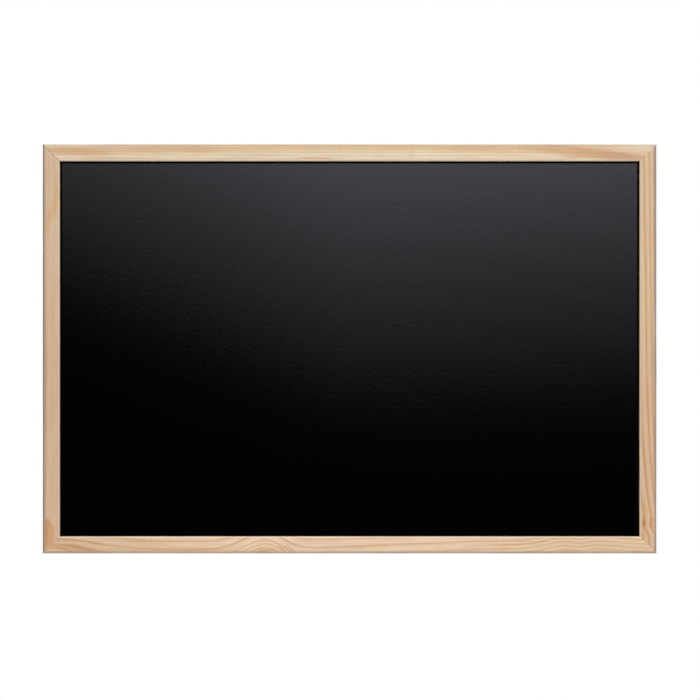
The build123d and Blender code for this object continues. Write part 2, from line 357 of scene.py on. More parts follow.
class Wire:
    """A value in a shader tree. Arithmetic on wires adds Math nodes, and node() adds any other node."""

    def __init__(self, tree, socket=None):
        self.tree = tree
        self.socket = socket

    def node(self, kind, settings=(), sockets=(), output=0):
        """A new node's output. Its settings are set first, then the values or wires of its sockets."""
        made = self.tree.nodes.new(kind)
        for name, value in dict(settings).items():
            setattr(made, name, value)
        for name, value in dict(sockets).items():
            if isinstance(value, Wire):
                self.tree.links.new(value.socket, made.inputs[name])
            else:
                made.inputs[name].default_value = value
        return Wire(self.tree, made.outputs[output] if made.outputs else None)

    def math(self, operation, *values):
        """A Math node on these values, in order."""
        return self.node("ShaderNodeMath", {"operation": operation}, enumerate(values))

    def __add__(self, other):
        return self.math("ADD", self, other)

    __radd__ = __add__

    def __sub__(self, other):
        return self.math("SUBTRACT", self, other)

    def __rsub__(self, other):
        return self.math("SUBTRACT", other, self)

    def __mul__(self, other):
        return self.math("MULTIPLY", self, other)

    __rmul__ = __mul__

    def __truediv__(self, other):
        return self.math("DIVIDE", self, other)

    def __rtruediv__(self, other):
        return self.math("DIVIDE", other, self)

    def __neg__(self):
        return self * -1

    def __abs__(self):
        return self.math("ABSOLUTE", self)

    def larger(self, other):
        return self.math("MAXIMUM", self, other)

    def smaller(self, other):
        return self.math("MINIMUM", self, other)

    def bell(self):
        """A bell of height 1 round 0: exp(-value^2)."""
        return self.math("EXPONENT", -(self * self))

    def smooth(self, start, end, curve="SMOOTHSTEP"):
        """0 before start, 1 past end and an S-curve between; start may be the larger."""
        sockets = {"Value": self, "From Min": start, "From Max": end}
        return self.node("ShaderNodeMapRange", {"interpolation_type": curve}, sockets)

    def ramp(self, start, end):
        """0 before start, 1 past end and a straight line between."""
        return self.smooth(start, end, "LINEAR")

    def point(self, x, y, z):
        """A vector of three values."""
        return self.node("ShaderNodeCombineXYZ", (), {"X": x, "Y": y, "Z": z})

    def parts(self):
        """The three values of this vector."""
        return [self.node("ShaderNodeSeparateXYZ", (), {"Vector": self}, output=axis) for axis in "XYZ"]

    def noise(self, place, lumps, detail=2.0, shift=(0, 0, 0)):
        """Smooth noise about 0.5, with lumps of these sizes along three axes, moved by a shift in lumps."""
        steps = [value / lump for value, lump in zip(place, lumps)]
        moved = [step + far if far else step for step, far in zip(steps, shift)]
        sockets = {"Vector": self.point(*moved), "Scale": 1.0, "Detail": detail}
        return self.node("ShaderNodeTexNoise", (), sockets)

    def ripple(self, place, lumps, detail=2.0, shift=(0, 0, 0)):
        """The same noise about 0."""
        return self.noise(place, lumps, detail, shift) - 0.5

    def blend(self, first, second, share):
        """A colour between two. The node has more sockets of these names, so they go by number."""
        sockets = {0: share, 6: first, 7: second}
        return self.node("ShaderNodeMix", {"data_type": "RGBA"}, sockets, output=2)

    def scaled(self, share):
        """This colour, made lighter or darker."""
        return self.node("ShaderNodeVectorMath", {"operation": "SCALE"}, {0: self, "Scale": share})

    def bump(self, height, strength, distance):
        """A normal that follows a height."""
        sockets = {"Height": height, "Strength": strength, "Distance": distance}
        return self.node("ShaderNodeBump", (), sockets, output="Normal")

    def surface(self, sockets):
        """A Principled shader with these sockets."""
        return self.node("ShaderNodeBsdfPrincipled", (), sockets)

    def finish(self, shader, kind="Material"):
        """Ends the tree of a material or a world with this shader."""
        self.node(f"ShaderNodeOutput{kind}", (), {"Surface": shader})


def rgba(colour):
    """A plain colour with full alpha."""
    return (*colour, 1.0)


def mixed(first, second, share):
    """A colour between two, as plain numbers."""
    return tuple(a + (b - a) * share for a, b in zip(first, second))


def new_tree(owner):
    """The wire that starts the emptied shader tree of a material or a world."""
    owner.use_nodes = True
    owner.node_tree.nodes.clear()
    return Wire(owner.node_tree)


def new_material(name, finish, *looks):
    """A material with the shader that a finish works out from its looks."""
    material = bpy.data.materials.new(name)
    start = new_tree(material)
    start.finish(finish(start, *looks))
    return material


def object_millimetres(start):
    """Object coordinates as three values in millimetres."""
    return [value / MM for value in start.node("ShaderNodeTexCoord", output="Object").parts()]


def moulding_millimetres(start, place):
    """Millimetres along, across and into a moulding, from the middle of its outer front edge."""
    corner = tuple(-value for value in place.origin)
    position = start.node("ShaderNodeTexCoord", output="Object")
    moved = start.node("ShaderNodeVectorMath", {"operation": "ADD"}, {0: position, 1: corner})
    dot = {"operation": "DOT_PRODUCT"}
    return [
        start.node("ShaderNodeVectorMath", dot, {0: moved, 1: way}, output="Value") / MM
        for way in (place.run, place.inward, INTO_WOOD)
    ]


def lift(along, swell):
    """How far a swell lifts the rings: rise * bell(short of its crest) - fall * (1 - bell(past it))."""
    short = (swell.at - along).larger(0.0) / swell.before
    past = (along - swell.at).larger(0.0) / swell.after
    return short.bell() * swell.rise - (1 - past.bell()) * swell.fall


def late_peak(within, start, end):
    """0 up to start, 1 at the late edge of a ring and 0 again from end."""
    return within.smooth(start, LATE_EDGE) * within.smooth(end, LATE_EDGE)


def late_wood(height, spacing, grain):
    """The rings' late wood and its darkest rim, from 0 to 1: a slow rise to the late edge, then a drop."""
    rings = (height / spacing).smaller(height / grain.core_spacing) + LATE_EDGE
    number = rings.math("FLOOR", rings)
    within = rings - number
    chance = rings.node("ShaderNodeTexWhiteNoise", {"noise_dimensions": "1D"}, {"W": number + grain.seed})
    dark = late_peak(within, LATE_LINE, 1) * LINE_SHARE + late_peak(within, 0, 1) * (1 - LINE_SHARE)
    return dark * (chance * RING_SPREAD + RING_LEAST), late_peak(within, *LATE_RIM)


def growth_rings(wood, grain):
    """The late wood and its rim of a moulding's rings, which follow a height through the wood.

    The height is across + tilt into the wood - drift along + warp - the grain's line - swells.
    """
    along, across, deep = wood
    seed = grain.seed
    warp = along.ripple(wood, WARP_LUMPS, shift=(seed, 0, seed)) * (2 * grain.warp)
    height = across + deep * grain.tilt - along * grain.drift + warp - grain.line
    for swell in grain.swells:
        height = height - lift(along, swell)
    late, rim = late_wood(height, grain.spacing, grain)
    if grain.split:
        half_late, half_rim = late_wood(height, grain.spacing / 2, grain)
        share = along.smooth(*grain.split)
        late = late + (half_late * HALF_RING_DEPTH - late) * share
        rim = rim + (half_rim - rim) * share
    patch = along.noise(wood, PATCH_LUMPS, shift=(seed, 0, 0)).smooth(*PATCH_SPAN)
    return late * (patch * PATCH_SPREAD + PATCH_LEAST), rim


def lens(along, across, streak, raggedness):
    """A streak's strength in a long ellipse that leans across the face, fading past its ragged rim."""
    run = along - streak.at
    end = run / streak.reach
    side = (across - streak.across - run * streak.lean) / streak.half
    rim = along.math("SQRT", end * end + side * side) + raggedness
    return rim.smooth(STREAK_RIM + streak.fade / 2, STREAK_RIM - streak.fade / 2) * streak.strength


def streaked(colour, streaks, colours, wood, raggedness):
    """A colour with the tone of each streak laid over it."""
    along, across, _ = wood
    for streak in streaks:
        share = lens(along, across, streak, raggedness)
        colour = along.blend(colour, rgba(getattr(colours, streak.tone)), share)
    return colour


def pine_finish(start, name, settings):
    """Planed pine: early wood, streaks, late wood of the rings, knots, fibres, painted shade on the outer
    edges and a painted highlight on the inner arris.
    """
    colours, grain = settings.pine, GRAINS[name]
    wood = moulding_millimetres(start, PLACES[name])
    along, across, deep = wood
    seed = grain.seed

    late, rim = growth_rings(wood, grain)
    fibre = start.ripple(wood, FIBRE_LUMPS, detail=3.0, shift=(seed, 0, 0))
    strand = start.ripple(wood, STRAND_LUMPS, detail=1.0, shift=(seed, 0, 0))
    cloud = start.ripple(wood, CLOUD_LUMPS, shift=(0, seed, 0))
    flush = start.noise(wood, FLUSH_LUMPS, shift=(0, 0, seed)).smooth(*FLUSH_SPAN)
    dash = start.noise(wood, DASH_LUMPS, detail=1.0, shift=(0, seed, 0)).smooth(*DASH_SPAN)

    early = getattr(colours, grain.early)
    flushed = mixed(early, colours.blush, FLUSH_TINT)
    colour = start.blend(rgba(early), rgba(flushed), flush * FLUSH_SHARE)
    raggedness = fibre * RAGGED_FIBRE + strand * RAGGED_STRAND
    colour = streaked(colour, grain.streaks, colours, wood, raggedness)
    depth = ((along - grain.crest) / grain.crest_reach).bell() * grain.crest_contrast + grain.contrast
    colour = start.blend(colour, rgba(colours.late), late * depth)
    colour = start.blend(colour, rgba(colours.knot), late * rim * depth * RIM_DEPTH)
    colour = streaked(colour, grain.knots, colours, wood, raggedness)
    strands = (fibre + strand * SHADE_STRAND) * grain.fibre
    colour = colour.scaled(1 + strands + cloud * SHADE_CLOUD - dash * SHADE_DASH)

    width = settings.moulding.width / MM
    # Painted shade: the outer edges are darkened where the rounded arris turns away from the light, least on
    # the top rail
    outer_shade_mask = (across.larger(deep) + fibre * OUTER_SHADE_FIBRE + cloud).smooth(*OUTER_SHADE_SPAN)
    # Painted highlight: the inner arris is paled as if it caught the light
    inner_highlight_mask = (width - across).larger(deep).smooth(*INNER_HIGHLIGHT_SPAN)
    colour = start.blend(colour, rgba(colours.worn), outer_shade_mask * grain.wear)
    colour = start.blend(colour, rgba(colours.bleached), inner_highlight_mask * grain.bleach)

    height = fibre * RELIEF_FIBRE + late * RELIEF_LATE - dash
    return start.surface({
        "Base Color": colour,
        "Roughness": colours.roughness + fibre * DULL_FIBRE - late * GLOSSY_LATE,
        "Normal": start.bump(height, *RELIEF["pine"]),
        "Specular IOR Level": colours.gloss,
    })


def writing_finish(start, settings):
    """Satin black writing paint, stippled and faintly uneven, with a painted shadow along the frame's lip: a
    strip that reflects almost nothing.
    """
    looks, width = settings.sheet, settings.moulding.width
    place = object_millimetres(start)
    stipple = start.ripple(place, STIPPLE_LUMPS)
    mottle = start.ripple(place, MOTTLE_LUMPS)
    x, _, z = place
    beyond_x = abs(x - MIDDLE_X / MM) - ((RIGHT - LEFT) / 2 - width) / MM
    beyond_z = abs(z - MIDDLE_Z / MM) - ((TOP - BOTTOM) / 2 - width) / MM
    # Painted shadow of the lip: a dull strip that reflects almost nothing, whole near the lip and gone by the
    # strip's width
    strip = looks.matt_strip / MM
    lip_shadow = beyond_x.larger(beyond_z).smooth(-strip, -strip / 2)
    satin_sockets = {
        "Base Color": start.blend(rgba(looks.colour), rgba(looks.dusty), 0.5 + stipple),
        "Roughness": looks.roughness + stipple * DULL_STIPPLE + mottle * DULL_MOTTLE,
        "Normal": start.bump(stipple + mottle * MOTTLE_RELIEF, *RELIEF["paint"]),
        "Specular Tint": rgba(looks.sheen),
    }
    lip_shadow_sockets = {
        "Base Color": rgba(looks.colour),
        "Roughness": looks.matt_roughness,
        "Specular IOR Level": looks.matt_gloss,
    }
    shaders = {0: lip_shadow, 1: start.surface(satin_sockets), 2: start.surface(lip_shadow_sockets)}
    return start.node("ShaderNodeMixShader", (), shaders)


def hardboard_finish(start, looks):
    """Brown pressed fibre board: its drying screen's print on the back, and short pale and dark fibres."""
    place = object_millimetres(start)
    x, _, z = place
    turn = FULL_TURN / SCREEN_PITCH
    screen = start.math("SINE", x * turn) * start.math("SINE", z * turn)
    pulp = start.ripple(place, PULP_LUMPS, detail=4.0)
    fibre = start.ripple(place, LONG_FIBRE_LUMPS, detail=3.0)
    cross_fibre = start.ripple(place, CROSS_FIBRE_LUMPS, detail=3.0, shift=CROSS_FIBRE_SHIFT)
    fleck = start.noise(place, FLECK_LUMPS).smooth(*FLECK_SPAN)
    fibres = fibre + cross_fibre
    brown = start.blend(rgba(looks.board), rgba(looks.board_fleck), fleck * FLECK_SHARE)
    shade = 1 + pulp * SHADE_PULP + fibres * SHADE_FIBRE + screen * SHADE_SCREEN
    height = screen * RELIEF_SCREEN + fibres * RELIEF_BOARD_FIBRE
    return start.surface({
        "Base Color": brown.scaled(shade),
        "Roughness": looks.board_roughness + pulp * DULL_PULP - screen * GLOSSY_SCREEN,
        "Normal": start.bump(height, *RELIEF["hardboard"]),
        "Specular IOR Level": looks.board_gloss,
    })


def metal_finish(start, colour, dull, roughness, line_length):
    """Plated or bare steel: fine drawn lines along Z, faint stains and duller specks."""
    place = object_millimetres(start)
    line = start.ripple(place, (LINE_WIDTH, LINE_WIDTH, line_length))
    stain = start.ripple(place, STAIN_LUMPS, detail=3.0)
    speck = start.noise(place, SPECK_LUMPS, detail=1.0).smooth(*SPECK_SPAN)
    duller = rgba(mixed(colour, dull, DULL_TINT))
    return start.surface({
        "Base Color": start.blend(rgba(colour), duller, (speck + stain) * DULL_SHARE),
        "Metallic": 1.0,
        "Roughness": roughness + stain * DULL_STAIN + line * DULL_LINE + speck * DULL_SPECK,
        "Normal": start.bump(line * RELIEF_LINE + stain * RELIEF_STAIN, *RELIEF["metal"]),
    })


def rubber_finish(start, looks):
    """Matt soft rubber with a fine moulded grip and a little dust."""
    place = object_millimetres(start)
    grip = start.ripple(place, GRIP_LUMPS)
    dust = start.noise(place, DUST_LUMPS, detail=4.0).smooth(*DUST_SPAN)
    return start.surface({
        "Base Color": start.blend(rgba(looks.rubber), rgba(looks.rubber_dust), dust * DUST_SHARE),
        "Roughness": looks.rubber_roughness + dust * DULL_DUST + grip * DULL_GRIP,
        "Normal": start.bump(grip, *RELIEF["rubber"]),
    })


def floor_finish(start, stage):
    """Plain pale paint."""
    return start.surface({
        "Base Color": rgba(stage.floor),
        "Roughness": stage.floor_roughness,
        "Specular IOR Level": stage.floor_gloss,
    })


def studio_world(stage):
    """The studio: plain white to the camera, to clear surfaces, and to glossy ones behind the board.

    Its light is haze, glow and canopy above each other in front and dark below them, held back overhead, with
    fill from the sides. Behind the board it comes mostly from above.
    """
    world = bpy.data.worlds.new("studio")
    start = new_tree(world)
    x, y, z = start.node("ShaderNodeTexCoord", output="Generated").parts()
    height = start.math("ARCSINE", z)
    turn = start.math("ARCTAN2", x, -y)
    edge = height - (-turn).larger(0.0) * stage.left_lean - turn.larger(0.0) * stage.right_lean
    glow_start = stage.haze_start + stage.haze_rise
    haze = edge.ramp(stage.haze_start, glow_start) * stage.haze
    low = haze + edge.ramp(glow_start, glow_start + stage.glow_rise) * stage.glow
    ahead = low + height.smooth(*CANOPY_SPAN) * (stage.sky - low)
    light = ahead + abs(turn).smooth(*SIDE_SPAN) * (stage.fill - ahead).larger(0.0)
    behind = abs(turn).smooth(*REAR_SPAN)
    rear = stage.backdrop * (stage.rear_shade + (1 - stage.rear_shade) * height.smooth(*REAR_RISE))
    light = light + behind * (rear - light)
    light = light * (1 - height.smooth(*OVERHEAD_SPAN) * stage.overhead_shade)
    lit = start.node("ShaderNodeBackground", (), {"Color": start.point(light, light, light)})
    white = start.node("ShaderNodeBackground", (), {"Color": (1, 1, 1, 1)})
    rays = ("Is Camera Ray", "Is Glossy Ray", "Is Transmission Ray")
    camera, glossy, clear = [start.node("ShaderNodeLightPath", output=ray) for ray in rays]
    seen = camera.larger(glossy * behind).larger(clear)
    start.finish(start.node("ShaderNodeMixShader", (), {0: seen, 1: lit, 2: white}), "World")
    return world


def dress(node, material):
    """Gives a CAD node its material."""
    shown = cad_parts[node]
    shown.data.materials.clear()
    shown.data.materials.append(material)


def add_piece(name, points, faces, material):
    """A mesh object at the origin, from an array of points and lists of faces, smooth up to an angle."""
    mesh = bpy.data.meshes.new(name)
    mesh.from_pydata(points.tolist(), [], faces)
    mesh.materials.append(material)
    mesh.shade_smooth()
    mesh.set_sharp_from_angle(angle=SHARP_ANGLE)
    mesh.validate()
    piece = bpy.data.objects.new(name, mesh)
    bpy.context.scene.collection.objects.link(piece)
    return piece


def stand_in(piece, node):
    """Puts a piece in a CAD node's place on the board."""
    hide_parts(node)
    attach(piece, "board")


def skin_faces(stations, around, turned=False):
    """Quads of a closed skin of stations by around points, with a flat cap at each end."""
    station, corner = np.meshgrid(np.arange(stations - 1), np.arange(around), indexing="ij")
    after = (corner + 1) % around
    here, there = station * around, (station + 1) * around
    quads = np.stack([here + corner, there + corner, there + after, here + after], axis=-1).reshape(-1, 4)
    first = np.arange(around)
    last = first[::-1] + (stations - 1) * around
    way = -1 if turned else 1
    return [*quads[:, ::way].tolist(), first[::way].tolist(), last[::way].tolist()]


def unevenness(along, seed):
    """A slow wave between about -1 and 1 along a moulding: sines of shrinking length, with seeded phases."""
    phases = np.random.default_rng(seed).uniform(0, FULL_TURN, len(SANDING_PARTS))
    lengths = SANDING_WAVE / np.array(SANDING_PARTS)
    return np.sin(FULL_TURN * along[:, None] / lengths + phases).mean(axis=1) * SANDING_HEIGHT


def moulding_section(sanding, sizes):
    """Across and depth of the closed section at each station, from the outer front corner.

    The outer arris, the face, the inner arris, the lip, the rebate, the back and its eased edge. An arris of
    radius r runs through r (1 - cos t), r (1 - sin t), with t from 0 to a quarter turn, and sanding scales r.
    """
    arc = np.linspace(0, QUARTER_TURN, ARC_POINTS)
    outer = sizes.outer_arris * sanding[:, None]
    inner = sizes.inner_arris * sanding[:, None]
    face = outer + (sizes.width - inner - outer) * np.linspace(0, 1, FACE_POINTS)[1:-1]
    inner_across = sizes.width - inner * (1 - np.cos(arc[::-1]))
    land = sizes.width - sizes.rebate
    back = sizes.depth - sizes.back_set
    corner_across = np.array([sizes.width, land, land, sizes.back_ease, 0])
    corner_depth = np.array([sizes.lip, sizes.lip, back, back, back - sizes.back_ease])
    plain = np.ones_like(sanding)[:, None]
    across = np.hstack([outer * (1 - np.cos(arc)), face, inner_across, plain * corner_across])
    inner_depth = inner * (1 - np.sin(arc[::-1]))
    depth = np.hstack([outer * (1 - np.sin(arc)), 0 * face, inner_depth, plain * corner_depth])
    return across, depth


def moulding_surface(name, sizes):
    """A mitred moulding: the section carried along, where a point's place is t (half length - across).

    t goes from -1 to 1, so that both ends lie on the 45-degree mitre planes. The outer stations are drawn in
    towards the middle of the section, which eases the mitre's edges, and a mitre opens towards the panel.
    """
    place = PLACES[name]
    half = place.length / 2
    ends = 1 - sizes.mitre_ease / half
    run = np.concatenate([[-1.0], np.linspace(-ends, ends, int(place.length / sizes.station)), [1.0]])
    seed = int(GRAINS[name].seed * 10)
    across, depth = moulding_section(1 + sizes.unevenness * unevenness(run * half, seed), sizes)

    middle_across = (sizes.width - sizes.rebate) / 2
    middle_depth = sizes.depth / 2
    low_share, high_share = place.mitres
    for end, share in ((0, low_share), (-1, high_share)):
        pull = 1 - share * sizes.mitre_ease / middle_depth
        across[end] = middle_across + (across[end] - middle_across) * pull
        depth[end] = middle_depth + (depth[end] - middle_depth) * pull

    gap = sizes.mitre_gap * np.where(run < 0, low_share, high_share)
    along = run[:, None] * (half - gap[:, None] * across / sizes.width - across)
    ways = np.array([place.run, place.inward, INTO_WOOD], float)
    points = np.array(place.origin) + np.stack([along, across, depth], axis=-1) @ ways
    return points.reshape(-1, 3), skin_faces(*across.shape, np.linalg.det(ways) < 0)


def lathe_points(low, high, radius, depth):
    """Points of a body turned about the Y axis of its box: its radius and depth at each station and turn."""
    turn = np.linspace(0, FULL_TURN, radius.shape[1], endpoint=False)
    x = (low.x + high.x) / 2 + radius * np.cos(turn)
    z = (low.z + high.z) / 2 + radius * np.sin(turn)
    return np.stack([x, depth, z], axis=-1).reshape(-1, 3)


def bumper_surface(node, sizes):
    """A turned pad: drafted wall, quarter-circle rim and dished face, dish (1 - (radius / its rim)^2)."""
    low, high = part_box(node)
    outside = (high.x - low.x) / 2
    proud = high.y - low.y
    arc = np.linspace(0, QUARTER_TURN, ARC_POINTS)
    rim_middle = outside - sizes.pad_draft - sizes.pad_rim
    wall_radius = np.array([outside, outside - sizes.pad_draft / 2])
    wall_height = np.array([0, (proud - sizes.pad_rim) / 2])
    rim_radius = rim_middle + sizes.pad_rim * np.cos(arc)
    rim_height = proud - sizes.pad_rim + sizes.pad_rim * np.sin(arc)
    inward = np.linspace(PAD_FIRST_RING, CAP_SHARE, PAD_RINGS)
    face_height = proud - sizes.pad_dish * (1 - inward**2)
    around = np.ones(PAD_TURN)
    radius = np.concatenate([wall_radius, rim_radius, rim_middle * inward])[:, None] * around
    depth = (low.y + np.concatenate([wall_height, rim_height, face_height]))[:, None] * around
    return lathe_points(low, high, radius, depth), skin_faces(*radius.shape)


def trough(distance, half, wall):
    """1 inside a trough of this half width, 0 outside it, and a straight slope over its wall."""
    return np.clip((half - np.abs(distance)) / wall + 0.5, 0, 1)


def screw_surface(node, sizes):
    """A wood screw in one skin: threaded shank, flat underside and pan head with a crossed recess.

    The thread's ridge is where the fraction of depth / pitch - turn is about a half. The head is a
    superellipse, (radius / R)^n + (height / H)^n = 1, and the recess is the larger of two sloping troughs.
    """
    low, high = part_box(node)
    head = (high.x - low.x) / 2
    seat = high.y - sizes.head_height
    turn = np.linspace(0, FULL_TURN, SCREW_TURN, endpoint=False)

    shank_depth = np.linspace(low.y, seat, SHANK_RINGS)[:, None]
    ridge_place = ((shank_depth - low.y) / sizes.thread_pitch - turn / FULL_TURN) % 1
    ridge = np.clip(1 - RIDGE_STEEPNESS * np.abs(2 * ridge_place - 1), 0, 1)
    ridge = ridge * (shank_depth < seat - sizes.plain_shank)
    taper = np.clip((shank_depth - low.y) / sizes.screw_tip, TIP_SHARE, 1)
    shank_radius = taper * (sizes.shank_radius - sizes.thread_height * (1 - ridge))

    power = sizes.head_squareness
    rim = np.linspace(0, HEAD_RIM_ANGLE, HEAD_RIM_RINGS)
    rim_radius = head * np.cos(rim) ** (2 / power)
    rim_height = sizes.head_height * np.sin(rim) ** (2 / power)
    top_radius = np.linspace(rim_radius[-1], CAP_SHARE * head, HEAD_TOP_RINGS)[1:]
    top_height = sizes.head_height * (1 - (top_radius / head) ** power) ** (1 / power)
    head_radius = np.concatenate([rim_radius, top_radius])[:, None] * np.ones_like(turn)
    head_height = np.concatenate([rim_height, top_height])[:, None]

    x, z = head_radius * np.cos(turn), head_radius * np.sin(turn)
    narrow, long, wall = sizes.recess_width / 2, sizes.recess_length / 2, sizes.recess_wall
    upright = trough(x, narrow, wall) * trough(z, long, wall)
    level = trough(z, narrow, wall) * trough(x, long, wall)
    sunk = np.maximum(upright, level) * sizes.recess_depth * (1 - RECESS_RISE * head_radius / long)
    radius = np.vstack([shank_radius, head_radius])
    depth = np.vstack([shank_depth * np.ones_like(turn), seat + head_height - sunk])
    return lathe_points(low, high, radius, depth), skin_faces(*radius.shape)


def floor_disc(stage):
    """A round floor: rings of points at even steps of radius, round the point below the board's middle."""
    radius = np.linspace(CAP_SHARE, 1.0, FLOOR_RINGS)[:, None] * stage.floor_radius
    turn = np.linspace(0, FULL_TURN, FLOOR_TURN, endpoint=False)
    x = MIDDLE_X + radius * np.cos(turn)
    y = radius * np.sin(turn)
    height = np.full_like(x, BOTTOM - stage.floor_drop)
    outer_cap = -1
    return np.stack([x, y, height], axis=-1).reshape(-1, 3), skin_faces(*x.shape)[:outer_cap]


# Settings by kind
def Number(name, description, default, **kind):
    return FloatProperty(name=name, description=description, default=default, **kind)


def Length(name, description, default):
    return Number(name, description, default, unit="LENGTH", precision=5)


def Angle(name, description, degrees):
    return Number(name, description, math.radians(degrees), unit="ROTATION")


def Share(name, description, default):
    return Number(name, description, default, subtype="FACTOR")


def Colour(name, description, default):
    return FloatVectorProperty(name=name, description=description, default=default, subtype="COLOR")


class MouldingSizes(bpy.types.PropertyGroup):
    """Sizes of the pine moulding."""

    width: Length("Face width", "Face seen from the front", TOP_HIGH.z - TOP_LOW.z)
    depth: Length("Depth", "Front face to back face", BACK - FRONT)
    lip: Length("Lip", "Wood in front of the writing sheet", SHEET_FRONT - FRONT)
    rebate: Length("Rebate", "Step behind the lip that takes the panel", 5.5 * MM)
    outer_arris: Length("Outer arris", "Radius of the outer front edge", 2 * MM)
    inner_arris: Length("Inner arris", "Radius of the front edge at the panel", 1.2 * MM)
    unevenness: Share("Unevenness", "How far hand sanding changes those radii", 0.14)
    back_ease: Length("Back ease", "Chamfer of the outer back edge", 0.6 * MM)
    back_set: Length("Back set", "How far the back lies below the V nails' edges", 0.05 * MM)
    mitre_gap: Length("Mitre gap", "Hairline left open at each mitre", 0.12 * MM)
    mitre_ease: Length("Mitre ease", "Softened edge of each mitre", 0.3 * MM)
    station: Length("Station", "Distance between the stations of a moulding", 5 * MM)


class FittingSizes(bpy.types.PropertyGroup):
    """Sizes of the screws and bumpers."""

    head_height: Length("Head height", "Screw head above the strap", 1.7 * MM)
    head_squareness: Number("Head squareness", "Power of the head's outline", 4.0)
    shank_radius: Length("Shank radius", "Screw thread's outside", 1.4 * MM)
    plain_shank: Length("Plain shank", "Unthreaded length under the head", 2.4 * MM)
    screw_tip: Length("Screw tip", "Length of the point", 2.5 * MM)
    thread_pitch: Length("Thread pitch", "From one turn to the next", 1.15 * MM)
    thread_height: Length("Thread height", "Ridge above its root", 0.38 * MM)
    recess_length: Length("Recess length", "Driver recess from end to end", 3 * MM)
    recess_width: Length("Recess width", "Each arm of the driver recess", 0.7 * MM)
    recess_depth: Length("Recess depth", "Driver recess at its middle", 1 * MM)
    recess_wall: Length("Recess wall", "Slope at the edge of the driver recess", 0.12 * MM)
    pad_draft: Length("Pad draft", "How much a bumper narrows to its rim", 0.2 * MM)
    pad_rim: Length("Pad rim", "Radius of a bumper's rim", 0.9 * MM)
    pad_dish: Length("Pad dish", "Hollow of a bumper's face", 0.12 * MM)


class PineLooks(bpy.types.PropertyGroup):
    """Colours and finish of the pine."""

    cream: Colour("Cream", "Early wood of the top rail", (0.785, 0.65, 0.47))
    rose: Colour("Rose", "Early wood of the bottom rail", (0.74, 0.56, 0.394))
    tan: Colour("Tan", "Early wood of the left stile", (0.612, 0.432, 0.285))
    honey: Colour("Honey", "Early wood of the right stile", (0.69, 0.505, 0.33))
    late: Colour("Late wood", "Dark edge of a growth ring", (0.58, 0.325, 0.155))
    amber: Colour("Amber", "Light golden streaks", (0.735, 0.53, 0.315))
    resin: Colour("Resin", "Resin-rich streaks", (0.66, 0.425, 0.24))
    blush: Colour("Blush", "Pink heartwood", (0.57, 0.335, 0.21))
    knot: Colour("Knot", "Small swirls round a pin knot", (0.4, 0.185, 0.065))
    # Painted shade on the outer edges, standing in for the arris turning away from the light
    worn: Colour("Painted edge shade", "Handled outer edges", (0.31, 0.24, 0.185))
    # Painted highlight on the inner arris; the same pale colour also tints one streak of the top rail
    bleached: Colour("Pale wood and highlight", "Paler arris at the panel", (0.8, 0.69, 0.55))
    roughness: Share("Roughness", "Planed and sanded face", 0.6)
    gloss: Share("Gloss", "Strength of its reflection", 0.2)


class SheetLooks(bpy.types.PropertyGroup):
    """Finish of the writing sheet."""

    colour: Colour("Black", "Writing paint", (0.0002, 0.0002, 0.0003))
    dusty: Colour("Stipple", "Raised points of the paint", (0.0005, 0.0004, 0.0006))
    sheen: Colour("Sheen", "Colour of the satin reflection", (0.9, 0.88, 1.0))
    roughness: Share("Roughness", "Satin finish", 0.105)
    # Painted shadow along the lip: this strip reflects almost nothing
    matt_strip: Length("Painted lip shadow", "Unpolished paint along the lip", 2.75 * MM)
    matt_roughness: Share("Matt roughness", "Roughness of that strip", 0.9)
    matt_gloss: Share("Matt gloss", "Strength of that strip's reflection", 0.02)


class BackLooks(bpy.types.PropertyGroup):
    """Colours and finish of what shows from behind."""

    board: Colour("Hardboard", "Pressed fibre board", (0.2, 0.11, 0.055))
    board_fleck: Colour("Fibre", "Pale fibres in the board", (0.36, 0.23, 0.13))
    board_roughness: Share("Hardboard roughness", "Pressed fibre board", 0.72)
    board_gloss: Share("Hardboard gloss", "Strength of its reflection", 0.3)
    steel: Colour("Steel", "V nails and framing points", (0.41, 0.41, 0.42))
    steel_roughness: Share("Steel roughness", "V nails and framing points", 0.34)
    zinc: Colour("Zinc", "Plated hangers and screws", (0.45, 0.46, 0.475))
    zinc_roughness: Share("Zinc roughness", "Plated hangers and screws", 0.28)
    dull: Colour("Dull metal", "Specks and stains on steel and zinc", (0.2, 0.2, 0.21))
    rubber: Colour("Rubber", "Wall bumpers", (0.03, 0.03, 0.032))
    rubber_dust: Colour("Dust", "Dust on the bumpers", (0.12, 0.11, 0.1))
    rubber_roughness: Share("Rubber roughness", "Wall bumpers", 0.7)


